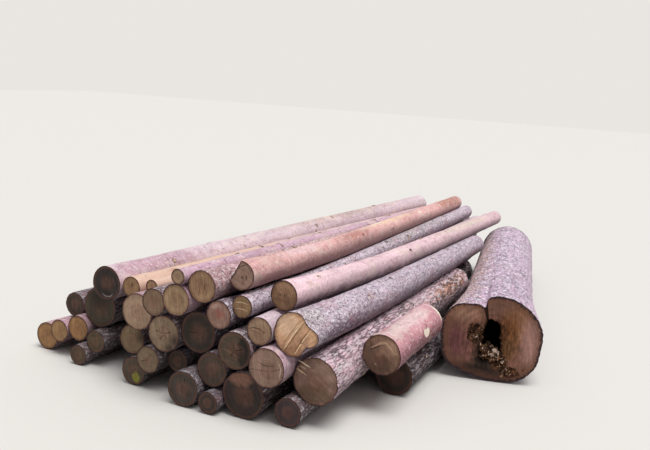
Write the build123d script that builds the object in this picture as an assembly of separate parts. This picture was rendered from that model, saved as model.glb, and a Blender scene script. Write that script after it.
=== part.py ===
"""Stack of felled spruce logs, with a hollow butt log lying beside it.

Millimetres. X runs across the stack, Y along the logs from the sawn front ends to the far ends, Z is up
from the ground. The stack is put together the way it was piled: the ground logs first, then every other
log let down over the saddle between two logs that are already there, until it lies on what it touches.
A log tapers and may be crooked, so its front half and its back half come to rest each by itself.
"""
import math
import os
from dataclasses import dataclass, field

from build123d import *

# Cutting
CUT_LENGTH = 4000            # length that the stems were cross-cut to
BUTT_FLARE = 1.06            # sawn end's diameter over the stem's, where a butt swells
BUTT_FLARE_LENGTH = 250      # length over which it swells
CLEAR_LENGTH = 3400          # length of the longest log that stops short of the hollow butt
SWEEP_LENGTH = 1500          # length over which a crooked log bends away from its line, from its sawn end
SWEEP_STEPS = 5              # straight lengths that the bend is made of

# Piling
LYING_GAP = 0.3              # room left where two logs lie on each other
START_HEIGHT = 60            # height above its place at which a log is let down
LOWERING = (8, 2, 0.5, 0.1)  # steps by which it is let down, coarse to fine
LOWERINGS = 14               # times that each step is taken
PUSHES = 8                   # times that it is pushed clear of what it touches after each step
NEAR = 2.5                   # reach within which logs may touch, over the radii that meet in a saddle
GAP_STEPS = 6                # places in each half at which the room between two logs is looked at
SIDE_PASSES = 8              # times that a ground log is set beside its neighbour, until it is exact

# Heart-shaped butt of the big grey log: two hollows between its root flares, and one flare that stands out
HEART_LOG = "fourth_log_2"
HEART_FADE = 650             # distance from the sawn end at which its outline is round again
HEART_STEPS = 4              # sections over which it fades
HEART_HOLLOW_DEPTH = 17
HEART_HOLLOW_SPREAD = 34     # half the angle that a hollow takes up, degrees
HEART_HOLLOW_ANGLES = (43, -46)
HEART_FLARE_RISE = 22
HEART_FLARE_SPREAD = 36
HEART_FLARE_ANGLE = -2
HEART_POINTS = 36            # points that its outline is drawn through

# Chipped end of one top log, where the last of the wood split off in felling
CHIPPED_LOG = "top_log_6"
CHIP_DEPTH = 34              # depth of the flat at the sawn end
CHIP_LENGTH = 160            # distance that it runs back along the log
CHIP_ANGLE = 150             # side of the log that it is on, degrees

# Hollow butt log beside the stack
HOLLOW_STEM = 424            # diameter behind the root flare
HOLLOW_TOP = 412             # diameter at its far end
HOLLOW_LENGTH = 2850
HOLLOW_FLARE_LENGTH = 1100
HOLLOW_FLARE_STEPS = 4       # sections over which the flare fades
HOLLOW_AHEAD = "second_log_10"
HOLLOW_END_GAP = 12          # room between its sawn end and the short log ahead of it
HOLLOW_BESIDE = "second_log_8"
HOLLOW_SIDE_GAP = 7          # room between its stem and the far end of the log beside it
HOLLOW_TURN = 14.8           # degrees that its far end lies turned towards the stack
# Outline of its sawn end, as angle and distance from the pith: root flares, with a fold at the top
HOLLOW_OUTLINE = (
    (0, 265), (28, 266), (48, 255), (70, 246), (90, 235), (101, 214), (107, 176), (113, 196), (123, 216),
    (137, 260), (152, 282), (180, 276), (212, 286), (235, 250), (270, 238), (305, 268), (330, 276),
)

# Rotted cavity of the hollow butt: its outline at the mouth, in the same way, and its place beside the pith
ROT_OUTLINE = (
    (0, 56), (40, 66), (70, 112), (95, 124), (120, 84), (160, 62), (200, 58), (240, 82), (275, 116),
    (300, 118), (330, 70),
)
ROT_OFFSET = (-8, -22)
ROT_DEPTH = 900              # how far the rot has eaten in
ROT_STEPS = 4
ROT_INNER_END = 0.35         # the cavity's size at its inner end over that at its mouth


@dataclass
class Stem:
    """One log as the tally has it: its diameters, how far back its sawn end is, and where it lies.

    The sweep is how far the sawn end of a crooked log bends away from the log's line, across and up.
    """

    front: float
    back: float
    setback: float
    lies: tuple
    length: float = CUT_LENGTH
    sweep: tuple = (0, 0)
    ends: list = field(default_factory=lambda: [(0.0, 0.0), (0.0, 0.0)])

    def reach(self):
        """Distances of its two ends from the stack's front."""
        return (self.setback, self.setback + self.length)

    def radius(self, y):
        """Radius at a distance from the stack's front, with the butt flare."""
        stem = self.front / BUTT_FLARE
        plain = (stem + (self.back - stem) * (y - self.setback) / self.length) / 2
        flare = max(0.0, 1 - (y - self.setback) / BUTT_FLARE_LENGTH)
        return plain * (1 + (BUTT_FLARE - 1) * flare)

    def centre(self, y):
        """Centre, across and up, at a distance from the stack's front."""
        part = (y - self.setback) / self.length
        bend = max(0.0, 1 - (y - self.setback) / SWEEP_LENGTH) ** 2
        (x0, z0), (x1, z1) = self.ends
        return (x0 + (x1 - x0) * part + bend * self.sweep[0], z0 + (z1 - z0) * part + bend * self.sweep[1])


# Ground row from left to right. A ground log lies beside the one on its left, with the gap between them
# at the front and at the back.
GROUND = {
    "ground_log_1": Stem(156, 150, 270, (0, 0)),
    "ground_log_2": Stem(100, 100, 600, (67, 37)),
    "ground_log_3": Stem(112, 127, 170, (23, 19)),
    "ground_log_4": Stem(102, 116, 560, (52, 34)),
    "ground_log_5": Stem(144, 138, 600, (3, 6)),
    "ground_log_6": Stem(150, 128, 105, (3, 6)),
    "ground_log_7": Stem(120, 114, 490, (53, 22)),
    "ground_log_8": Stem(178, 138, 10, (39, 17)),
    "ground_log_9": Stem(112, 92, 0, (10, 4)),
    "ground_log_10": Stem(230, 214, 50, (3, 3), length=CLEAR_LENGTH),
    "ground_log_11": Stem(144, 130, 80, (42, 18), length=2900),
    "ground_log_12": Stem(206, 202, 760, (97, 72), length=880),
}

# Logs laid on others, in the order of piling, each with the logs on its left and on its right below it.
LAID = {
    "second_log_1": Stem(126, 126, 230, ("ground_log_1", "ground_log_2")),
    "second_log_2": Stem(142, 146, 235, ("second_log_1", "ground_log_3"), sweep=(0, 14)),
    "second_log_3": Stem(126, 122, 205, ("ground_log_3", "ground_log_4")),
    "second_log_4": Stem(152, 142, 480, ("second_log_3", "ground_log_5")),
    "second_log_5": Stem(142, 122, 70, ("ground_log_6", "ground_log_7")),
    "second_log_6": Stem(120, 110, 140, ("second_log_5", "ground_log_8")),
    "second_log_7": Stem(170, 146, 55, ("ground_log_8", "ground_log_10")),
    "second_log_8": Stem(232, 196, 135, ("ground_log_11", "ground_log_12"), length=2400),
    "second_log_9": Stem(190, 168, 25, ("ground_log_10", "second_log_8"), length=CLEAR_LENGTH - 100),
    "second_log_10": Stem(202, 192, 455, ("second_log_8", "ground_log_12"), length=735),
    "third_log_1": Stem(220, 242, 265, ("second_log_2", "second_log_3"), length=CUT_LENGTH + 100),
    "third_log_2": Stem(136, 104, 310, ("second_log_2", "third_log_1"), sweep=(22, 0)),
    "third_log_3": Stem(158, 154, 135, ("ground_log_6", "second_log_5")),
    "third_log_4": Stem(188, 148, 85, ("second_log_5", "second_log_6")),
    "third_log_5": Stem(184, 138, 40, ("second_log_7", "second_log_9")),
    "third_log_6": Stem(204, 152, 100, ("third_log_4", "second_log_7")),
    "third_log_7": Stem(162, 144, 350, ("second_log_4", "third_log_3")),
    "fourth_log_1": Stem(190, 142, 95, ("third_log_3", "third_log_4")),
    "fourth_log_2": Stem(
        210, 138, 70, ("second_log_9", "second_log_8"), length=CLEAR_LENGTH - 280, sweep=(-28, 20)
    ),
    "fourth_log_3": Stem(138, 126, 60, ("third_log_5", "second_log_9"), length=CUT_LENGTH - 100),
    "fourth_log_4": Stem(
        142, 128, 75, ("third_log_6", "third_log_5"), length=CUT_LENGTH - 100, sweep=(-12, 24)
    ),
    "fourth_log_5": Stem(140, 100, 40, ("fourth_log_1", "third_log_4")),
    "fifth_log_1": Stem(160, 114, 20, ("fourth_log_5", "third_log_6")),
    "fifth_log_2": Stem(
        112, 104, 95, ("fourth_log_4", "fourth_log_3"), length=CUT_LENGTH - 300, sweep=(-12, 26)
    ),
    "fifth_log_3": Stem(
        148, 116, 200, ("fourth_log_3", "fourth_log_2"), length=CUT_LENGTH - 100, sweep=(-34, 34)
    ),
    "top_log_1": Stem(184, 150, 185, ("third_log_1", "third_log_7"), length=CUT_LENGTH + 200),
    "top_log_2": Stem(116, 100, 200, ("top_log_1", "fourth_log_1"), length=CUT_LENGTH + 100),
    "top_log_3": Stem(75, 58, 150, ("fourth_log_1", "fourth_log_5"), length=CUT_LENGTH - 100),
    "top_log_4": Stem(159, 112, 35, ("fifth_log_1", "fourth_log_4"), length=CUT_LENGTH - 100),
    "top_log_5": Stem(80, 64, 0, ("fifth_log_1", "top_log_4"), length=CUT_LENGTH - 200),
    "top_log_6": Stem(146, 112, 135, ("top_log_4", "fifth_log_2"), length=CUT_LENGTH - 400, sweep=(0, 44)),
}


def shared(log, other):
    """The two distances from the stack's front between which both logs are there."""
    fronts, backs = zip(log.reach(), other.reach())
    return (max(fronts), min(backs))


def room(log, other, y):
    """Room between two logs at a distance from the stack's front."""
    return math.dist(log.centre(y), other.centre(y)) - log.radius(y) - other.radius(y)


def tightest(log, other, half):
    """Where the room is least in the front half, or the back half, of the length that two logs share."""
    start, stop = shared(log, other)
    steps = [start + (stop - start) * (half + step / GAP_STEPS) / 2 for step in range(GAP_STEPS + 1)]
    return min(steps, key=lambda y: room(log, other, y))


def push_clear(log, other):
    """Move a log out of one that it would run into, by its nearer end most."""
    for half in (0, 1):
        y = tightest(log, other, half)
        overlap = LYING_GAP - room(log, other, y)
        if overlap <= 0:
            continue
        own, there = log.centre(y), other.centre(y)
        away = math.dist(own, there)
        part = (y - log.setback) / log.length
        weights = (1 - part, part)
        push = overlap / (weights[0] ** 2 + weights[1] ** 2) / away
        log.ends = [
            (x + push * weight * (own[0] - there[0]), z + push * weight * (own[1] - there[1]))
            for (x, z), weight in zip(log.ends, weights)
        ]


def saddle(log, left, right, y):
    """Point above the two that carry a log, at which it would touch both, at a distance along them."""
    (x0, z0), (x1, z1) = left.centre(y), right.centre(y)
    across = math.dist((x0, z0), (x1, z1))
    to_left, to_right = left.radius(y) + log.radius(y), right.radius(y) + log.radius(y)
    along = (across**2 + to_left**2 - to_right**2) / (2 * across)
    rise = math.sqrt(max(0.0, to_left**2 - along**2))
    x = x0 + (along * (x1 - x0) - rise * (z1 - z0)) / across
    z = z0 + (along * (z1 - z0) + rise * (x1 - x0)) / across
    return (x, z)


def lay(log, left, right, placed):
    """Lower a log between the two that carry it, until it lies on what it touches."""
    start = max(stem.reach()[0] for stem in (log, left, right))
    stop = min(stem.reach()[1] for stem in (log, left, right))
    (x0, z0), (x1, z1) = saddle(log, left, right, start), saddle(log, left, right, stop)
    parts = [(y - start) / (stop - start) for y in log.reach()]
    log.ends = [(x0 + (x1 - x0) * part, z0 + (z1 - z0) * part + START_HEIGHT) for part in parts]
    middle = (start + stop) / 2
    reach = NEAR * (log.radius(middle) + left.radius(middle) + right.radius(middle))
    near = [other for other in placed if math.dist(other.centre(middle), log.centre(middle)) < reach]
    for step in LOWERING:
        for _ in range(LOWERINGS):
            log.ends = [(x, z - step) for x, z in log.ends]
            for _ in range(PUSHES):
                for other in near:
                    push_clear(log, other)
                log.ends = [(x, max(z, log.radius(y))) for (x, z), y in zip(log.ends, log.reach())]


def pile():
    """Give every log its place, in the order of piling."""
    placed = []
    for log in GROUND.values():
        log.ends = [(0.0, log.radius(y)) for y in log.reach()]
        if placed:
            beside = placed[-1]
            for _ in range(SIDE_PASSES):
                for end in (0, 1):
                    y = shared(log, beside)[end]
                    away = log.radius(y) + beside.radius(y) + LYING_GAP
                    rise = log.centre(y)[1] - beside.centre(y)[1]
                    x = beside.centre(y)[0] + math.sqrt(away**2 - rise**2) + log.lies[end]
                    x += log.ends[end][0] - log.centre(y)[0]
                    log.ends[end] = (x, log.ends[end][1])
        placed.append(log)
    tally = GROUND | LAID
    for log in LAID.values():
        lay(log, *(tally[name] for name in log.lies), placed)
        placed.append(log)
    return tally


def stations(log, *shaped):
    """Distances at which a log's sections are drawn: its ends, where its shape changes, and its bend."""
    start, stop = log.reach()
    bend = [start + SWEEP_LENGTH * step / SWEEP_STEPS for step in range(1, SWEEP_STEPS + 1)]
    return [y for y in sorted({start, *shaped, *(bend if any(log.sweep) else ())}) if y < stop] + [stop]


def section(centre, y, outline):
    """Flat face across a log, from angles in degrees and distances from its centre."""
    points = [
        (
            centre[0] + distance * math.cos(math.radians(angle)),
            y,
            centre[1] + distance * math.sin(math.radians(angle)),
        )
        for angle, distance in outline
    ]
    return Face(Wire(Edge.make_spline(points, periodic=True)))


def disc(log, y):
    """Round face across a log at a distance from the stack's front."""
    x, z = log.centre(y)
    return Plane(origin=(x, y, z), x_dir=(1, 0, 0), z_dir=(0, -1, 0)) * Circle(log.radius(y))


def swelling(angle, middle, spread):
    """Height, from 0 to 1, of a rounded swelling round a stem."""
    away = abs((angle - middle + 180) % 360 - 180) / spread
    return 0.0 if away >= 1 else math.cos(math.pi * away / 2) ** 2


def round_log(log):
    """A log sawn off square, with the butt flare at its front end."""
    return loft([disc(log, y) for y in stations(log, log.setback + BUTT_FLARE_LENGTH)], ruled=True)


def heart_log(log):
    """The big grey log, whose root flares make its sawn end heart-shaped."""
    faded = [log.setback + HEART_FADE * step / HEART_STEPS for step in range(1, HEART_STEPS + 1)]
    faces = []
    for y in stations(log, *faded):
        strength = max(0.0, 1 - (y - log.setback) / HEART_FADE) ** 2
        outline = []
        for step in range(HEART_POINTS):
            angle = 360 * step / HEART_POINTS
            hollow = sum(swelling(angle, at, HEART_HOLLOW_SPREAD) for at in HEART_HOLLOW_ANGLES)
            flare = swelling(angle, HEART_FLARE_ANGLE, HEART_FLARE_SPREAD)
            change = HEART_FLARE_RISE * flare - HEART_HOLLOW_DEPTH * hollow
            outline.append((angle, log.radius(y) + strength * change))
        faces.append(section(log.centre(y), y, outline))
    return loft(faces, ruled=True)


def chipped_log(log):
    """A log with a flat split off the side of its sawn end."""
    x, z = log.centre(log.setback)
    radius = log.radius(log.setback)
    turn = math.radians(CHIP_ANGLE)
    side = Plane(
        origin=(x, log.setback, z),
        x_dir=(math.cos(turn), 0, math.sin(turn)),
        z_dir=(-math.sin(turn), 0, math.cos(turn)),
    )
    wide = 2 * radius
    corners = ((radius - CHIP_DEPTH, 0), (wide, 0), (wide, CHIP_LENGTH), (radius, CHIP_LENGTH))
    flat = Polyline(*corners, close=True)
    return round_log(log) - extrude(side * make_face(flat), radius, both=True)


def hollow_outline(y):
    """Outline of the hollow butt log at a distance from its sawn end."""
    strength = max(0.0, 1 - y / HOLLOW_FLARE_LENGTH) ** 2
    stem = (HOLLOW_STEM + (HOLLOW_TOP - HOLLOW_STEM) * y / HOLLOW_LENGTH) / 2
    return [(angle, stem + strength * (distance - stem)) for angle, distance in HOLLOW_OUTLINE]


def left_reach(outline):
    """How far an outline reaches to the left of its centre."""
    return max(-distance * math.cos(math.radians(angle)) for angle, distance in outline)


def hollow_log():
    """The hollow butt log, along Y, lying on the ground with its pith over the origin."""
    sole = -section((0, 0), 0, hollow_outline(0)).bounding_box().min.Z
    drop = (sole - HOLLOW_TOP / 2) / HOLLOW_LENGTH

    def centre(y):
        return (0, sole - drop * y)

    flared = [HOLLOW_FLARE_LENGTH * step / HOLLOW_FLARE_STEPS for step in range(HOLLOW_FLARE_STEPS + 1)]
    body = loft([section(centre(y), y, hollow_outline(y)) for y in (*flared, HOLLOW_LENGTH)], ruled=True)

    rotted = []
    for step in range(ROT_STEPS + 1):
        y = ROT_DEPTH * step / ROT_STEPS
        size = 1 - (1 - ROT_INNER_END) * step / ROT_STEPS
        outline = [(angle, distance * size) for angle, distance in ROT_OUTLINE]
        place = [pith + offset * size for pith, offset in zip(centre(y), ROT_OFFSET)]
        rotted.append(section(place, y, outline))
    return body - loft(rotted, ruled=True)


def hollow_log_place(ahead, beside):
    """Place of the hollow butt: its sawn end behind one log, its stem beside the far end of the other."""
    turn = math.radians(HOLLOW_TURN)
    setback = ahead.reach()[1] + HOLLOW_END_GAP + left_reach(hollow_outline(0)) * math.sin(turn)
    end = beside.reach()[1]
    side = beside.centre(end)[0] + beside.radius(end) + HOLLOW_SIDE_GAP
    stem = left_reach(hollow_outline((end - setback) / math.cos(turn))) / math.cos(turn)
    return Pos(side + stem + (end - setback) * math.tan(turn), setback, 0) * Rot(0, 0, HOLLOW_TURN)


def build():
    """Every log as a solid, with the middle of the stack's underside at the origin."""
    tally = pile()
    shapes = {HEART_LOG: heart_log, CHIPPED_LOG: chipped_log}
    logs = {name: shapes.get(name, round_log)(log) for name, log in tally.items()}
    logs["hollow_butt_log"] = hollow_log_place(tally[HOLLOW_AHEAD], tally[HOLLOW_BESIDE]) * hollow_log()
    boxes = [log.bounding_box() for log in logs.values()]
    left, right = min(box.min.X for box in boxes), max(box.max.X for box in boxes)
    front, back = min(box.min.Y for box in boxes), max(box.max.Y for box in boxes)
    shift = Pos(-(left + right) / 2, -(front + back) / 2, 0)
    return {name: shift * log for name, log in logs.items()}


def main():
    """Write one file for each log."""
    os.makedirs("parts", exist_ok=True)
    for name, log in build().items():
        log.label = name
        export_step(log, f"parts/{name}.step")


if __name__ == "__main__":
    main()
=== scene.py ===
"""Looks of a stack of felled spruce logs, with a hollow butt log lying beside it.

Every log is a skin laid over its solid: the bark with its relief, branch stubs and peeled places, and two
sawn ends. The hollow butt also has the rotted wall of its cavity and the crumbs that fell from it. All is
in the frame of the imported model. The camera and the studio are in metres, the sizes of the logs' details
in millimetres, and angles in degrees.
"""
import math
from dataclasses import dataclass

import bpy
import numpy as np
from mathutils import Matrix, Vector, noise
from mathutils.bvhtree import BVHTree


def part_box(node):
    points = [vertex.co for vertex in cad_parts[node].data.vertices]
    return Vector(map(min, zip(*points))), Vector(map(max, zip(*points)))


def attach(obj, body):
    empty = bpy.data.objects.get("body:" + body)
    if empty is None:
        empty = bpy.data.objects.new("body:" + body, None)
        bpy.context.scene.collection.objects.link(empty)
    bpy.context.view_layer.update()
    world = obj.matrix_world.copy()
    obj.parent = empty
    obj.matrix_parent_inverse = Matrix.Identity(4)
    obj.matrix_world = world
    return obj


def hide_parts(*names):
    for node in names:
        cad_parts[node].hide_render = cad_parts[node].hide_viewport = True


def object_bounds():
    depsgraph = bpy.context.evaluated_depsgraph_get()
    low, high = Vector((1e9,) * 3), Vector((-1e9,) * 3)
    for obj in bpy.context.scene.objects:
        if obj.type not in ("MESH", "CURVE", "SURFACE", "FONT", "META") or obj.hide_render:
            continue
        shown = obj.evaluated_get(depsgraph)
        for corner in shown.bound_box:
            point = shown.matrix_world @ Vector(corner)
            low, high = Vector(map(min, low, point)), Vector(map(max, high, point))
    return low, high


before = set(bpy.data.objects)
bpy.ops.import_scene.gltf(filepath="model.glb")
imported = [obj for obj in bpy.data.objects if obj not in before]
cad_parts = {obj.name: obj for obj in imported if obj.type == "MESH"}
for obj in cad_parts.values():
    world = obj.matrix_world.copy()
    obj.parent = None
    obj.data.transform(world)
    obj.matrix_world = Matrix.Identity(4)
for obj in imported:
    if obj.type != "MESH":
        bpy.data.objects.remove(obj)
CAD_LOW, CAD_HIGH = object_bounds()
MM = 0.001

# Camera, as it stood in front of the stack
LENS, SENSOR = 49.67, 36  # millimetres
CAMERA_HEIGHT = 1.6
CAMERA_PITCH = 9.636  # degrees that it looks down
CAMERA_YAW = 27.217  # degrees that it looks to the left of the logs' direction
CAMERA_ROLL = 3.212
CAMERA_RIGHT = 3.5275  # distance to the right of the middle of ground_log_1
CAMERA_BEFORE = 3.3  # distance in front of the stack


def make_camera():
    """The camera at the photograph's place."""
    data = bpy.data.cameras.new("camera")
    data.lens = LENS
    data.sensor_width = SENSOR
    camera = bpy.data.objects.new("camera", data)
    bpy.context.scene.collection.objects.link(camera)
    low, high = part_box("ground_log_1")
    first_log = low.x + (high.x - low.x) / 2
    place = Vector((first_log + CAMERA_RIGHT, CAD_LOW.y - CAMERA_BEFORE, CAMERA_HEIGHT))
    camera.matrix_world = (
        Matrix.Translation(place)
        @ Matrix.Rotation(math.radians(CAMERA_YAW), 4, "Z")
        @ Matrix.Rotation(math.radians(90 - CAMERA_PITCH), 4, "X")
        @ Matrix.Rotation(math.radians(CAMERA_ROLL), 4, "Z")
    )
    bpy.context.scene.camera = camera


def linear(hex_colour):
    """An sRGB hex colour as linear red, green, blue and alpha."""
    values = [int(hex_colour[i:i + 2], 16) / 255 for i in (1, 3, 5)]
    return (*(v / 12.92 if v <= 0.04045 else ((v + 0.055) / 1.055) ** 2.4 for v in values), 1.0)


def add(tree, kind, inputs=(), settings=None, output=0, **values):
    """Add a node with its settings, set or link its inputs, and give one of its outputs.

    Inputs come by name or number, or in their order. Those of a map range are its value, the lowest and
    highest that come in, and what they become.
    """
    node = tree.nodes.new(kind)
    for key, value in (settings or {}).items():
        setattr(node, key, value)
    given = inputs if isinstance(inputs, dict) else dict(enumerate(inputs))
    for key, value in {**given, **values}.items():
        socket = node.inputs[key]
        if isinstance(value, bpy.types.NodeSocket):
            tree.links.new(value, socket)
        else:
            socket.default_value = value
    return node.outputs[output]


# Studio
FLOOR_COLOUR = "#e9e6e1"
FLOOR_SIZE = 60
SKY_STRENGTH = 0.43
KEY_STRENGTH = 2.1
KEY_SOFTNESS = 40  # degrees across
KEY_FROM = (0.30, -0.10, 1.0)  # direction that its light comes from


def make_studio():
    """A pale floor under soft light from above."""
    world = bpy.data.worlds.new("studio")
    world.use_nodes = True
    bpy.context.scene.world = world
    tree = world.node_tree
    sky = tree.nodes["Background"]
    sky.inputs["Strength"].default_value = SKY_STRENGTH
    sky.inputs["Color"].default_value = (1, 1, 1, 1)
    seen = add(tree, "ShaderNodeBackground", Color=linear(FLOOR_COLOUR), Strength=1.0)
    camera_ray = add(tree, "ShaderNodeLightPath", output="Is Camera Ray")
    mix = add(tree, "ShaderNodeMixShader", (camera_ray, sky.outputs[0], seen))
    tree.links.new(mix, tree.nodes["World Output"].inputs["Surface"])

    sun = bpy.data.lights.new("key", "SUN")
    sun.energy = KEY_STRENGTH
    sun.angle = math.radians(KEY_SOFTNESS)
    key = bpy.data.objects.new("key", sun)
    bpy.context.scene.collection.objects.link(key)
    key.rotation_euler = Vector(KEY_FROM).to_track_quat("Z", "Y").to_euler()

    bpy.ops.mesh.primitive_plane_add(size=FLOOR_SIZE, location=(0, 0, CAD_LOW.z - MM))
    floor = bpy.context.object
    floor.name = "floor"
    material = bpy.data.materials.new("studio_floor")
    material.use_nodes = True
    shader = material.node_tree.nodes["Principled BSDF"]
    shader.inputs["Base Color"].default_value = linear(FLOOR_COLOUR)
    shader.inputs["Roughness"].default_value = 0.9
    shader.inputs["Specular IOR Level"].default_value = 0.1
    floor.data.materials.append(material)
    bpy.context.scene.view_settings.view_transform = "Standard"


make_camera()
make_studio()


def per_mm(size, stretch=1.0):
    """Scale of a pattern whose parts have a size across the stem, and a stretch along it."""
    across = 1 / (size * MM)
    return (across, across, across / stretch)


@dataclass
class Bark:
    """How a bark looks.

    Its scales have a width, a length over that width, gaps that are more or less dark and wide, and wavy
    edges. Then come the height of its relief and its roughness. Clouds change the tone: size across the
    stem, stretch along it, and amount. Spots lie on top: size, stretch, share of the bark that they cover,
    colour, and strength.
    """

    scale: float
    stretch: float
    furrow: float
    gap: float
    wavy: float
    relief: float
    rough: float
    clouds: tuple
    spots: tuple


BARKS = {
    # Bark of young fast grown spruce: thin, nearly smooth, a dull sheen, and fine creases across the stem
    "smooth_spruce_bark": Bark(
        scale=14, stretch=1.8, furrow=0.14, gap=0.16, wavy=2.4, relief=0.5, rough=0.66,
        clouds=((190, 2.4, 0.15), (26, 12, 0.10), (6, 1.2, 0.13)),
        spots=(
            (16, 1.4, 0.30, "#fbeeec", 0.50), (90, 2.2, 0.32, "#f4e0d2", 0.36),
            (60, 1.8, 0.24, "#a8686c", 0.30), (46, 0.16, 0.17, "#543638", 0.72),
            (9, 1.0, 0.12, "#40292c", 0.80),
        ),
    ),
    # Bark of slow grown spruce: small loose scales with grey lichen on them, and dark gaps where they fell
    "mottled_spruce_bark": Bark(
        scale=10, stretch=1.7, furrow=0.46, gap=0.16, wavy=2.6, relief=1.0, rough=0.82,
        clouds=((160, 2.2, 0.15), (24, 6, 0.12), (6, 1.1, 0.18)),
        spots=(
            (14, 1.9, 0.42, "#f8f1f6", 0.66), (80, 1.8, 0.30, "#c4959b", 0.40),
            (12, 1.5, 0.32, "#40333a", 0.80), (44, 0.5, 0.14, "#564850", 0.5),
        ),
    ),
    # Bark near the foot of an older spruce: long wavy scales that stand off, with deep gaps between them
    "long_scaled_bark": Bark(
        scale=22, stretch=4.2, furrow=0.78, gap=0.22, wavy=3.0, relief=2.6, rough=0.84,
        clouds=((170, 2.0, 0.14), (20, 7, 0.16), (7, 1.2, 0.18)),
        spots=(
            (16, 4.0, 0.46, "#f9eaf0", 0.66), (70, 1.4, 0.22, "#b0847c", 0.36),
            (15, 3.6, 0.22, "#38272a", 0.80),
        ),
    ),
    # Bark of the old butt log: curled scales all over, their edges bleached
    "fine_scaled_bark": Bark(
        scale=20, stretch=1.5, furrow=0.58, gap=0.20, wavy=3.4, relief=2.6, rough=0.84,
        clouds=((240, 1.8, 0.12), (26, 5, 0.10), (7, 1.0, 0.18)),
        spots=(
            (18, 1.4, 0.46, "#fff5ff", 0.86), (130, 1.6, 0.22, "#c09aa6", 0.30),
            (17, 1.0, 0.28, "#46323d", 0.85),
        ),
    ),
}


READ_AS = {"stem": "Vector", "tone": "Color"}  # a skin's other values are read as plain numbers
NOISE_LOW, NOISE_HIGH = 0.3, 0.7  # range that most of a noise lies in
SPOT_START = 0.66  # level of the noise at which the rarest spots start
SPOT_SPREAD = 0.32  # how much lower the level is for spots that lie all over
SPOT_EDGE = 0.06  # how softly they end
COLOURS = {"data_type": "RGBA"}  # a mix then has its share in input 0, colours in 6 and 7, and output 2
TIMES, TIMES_PLUS = {"operation": "MULTIPLY"}, {"operation": "MULTIPLY_ADD"}
SCALED, PLUS = {"operation": "SCALE"}, {"operation": "ADD"}


def new_material(name, *values):
    """A material with its node tree, its shader, and the skin's values that it reads."""
    material = bpy.data.materials.new(name)
    material.use_nodes = True
    tree = material.node_tree
    read = [
        add(tree, "ShaderNodeAttribute", settings={"attribute_name": value}, output=READ_AS.get(value, "Fac"))
        for value in values
    ]
    return material, tree, tree.nodes["Principled BSDF"], *read


def lay_finish(tree, shader, colour, rough, specular, height, strength, depth):
    """Give the shader its colour, roughness and specular level, and a bump that is some millimetres deep."""
    tree.links.new(colour, shader.inputs["Base Color"])
    shader.inputs["Roughness"].default_value = rough
    shader.inputs["Specular IOR Level"].default_value = specular
    bump = add(tree, "ShaderNodeBump", {"Height": height}, Strength=strength, Distance=depth * MM)
    tree.links.new(bump, shader.inputs["Normal"])


def clouded(tree, stem, clouds):
    """Brightness that varies in clouds, and the finest of them by itself."""
    level = 1.0
    for size, stretch, amount in clouds:
        place = add(tree, "ShaderNodeMapping", {"Vector": stem}, Scale=per_mm(size, stretch))
        cloud = add(tree, "ShaderNodeTexNoise", {"Vector": place}, Scale=1.0, Detail=4.0, Roughness=0.65)
        change = add(tree, "ShaderNodeMapRange", (cloud, NOISE_LOW, NOISE_HIGH, 1 - amount, 1 + amount))
        level = add(tree, "ShaderNodeMath", (level, change), TIMES)
    return level, cloud


def spotted(tree, stem, colour, spots):
    """A colour with spots laid over it, and how much the first kind of spot covers each place."""
    covers = []
    for size, stretch, share, spot_colour, strength in spots:
        place = add(tree, "ShaderNodeMapping", {"Vector": stem}, Scale=per_mm(size, stretch))
        cloud = add(tree, "ShaderNodeTexNoise", {"Vector": place}, Scale=1.0, Detail=3.0, Roughness=0.7)
        start = SPOT_START - SPOT_SPREAD * share
        cover = add(tree, "ShaderNodeMapRange", (cloud, start, start + SPOT_EDGE, 0.0, strength))
        colour = add(tree, "ShaderNodeMix", {0: cover, 6: colour, 7: linear(spot_colour)}, COLOURS, 2)
        covers.append(cover)
    return colour, covers[0]


def with_painted_shade(tree, colour, painted_shade):
    """A colour darkened by painted shade, as far as the given share."""
    dry = add(tree, "ShaderNodeMath", (1.0, painted_shade), {"operation": "SUBTRACT"})
    return add(tree, "ShaderNodeVectorMath", {0: colour, "Scale": dry}, SCALED)


GAP_CHANGE = 0.45  # how much the gaps between scales open and close along the bark
WARP_SIZE = 3  # size of the waves in the scales' edges, over that of a scale
FIBRE_MM, FIBRE_STRETCH = 9, 26  # fibres of bare wood, drawn coarser than they are so that they show
BARE_EDGE = 0.08  # how softly bark ends round bare wood
WOOD_DARK, WOOD_PALE = linear("#ecd2b8"), linear("#fff8ee")


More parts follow.
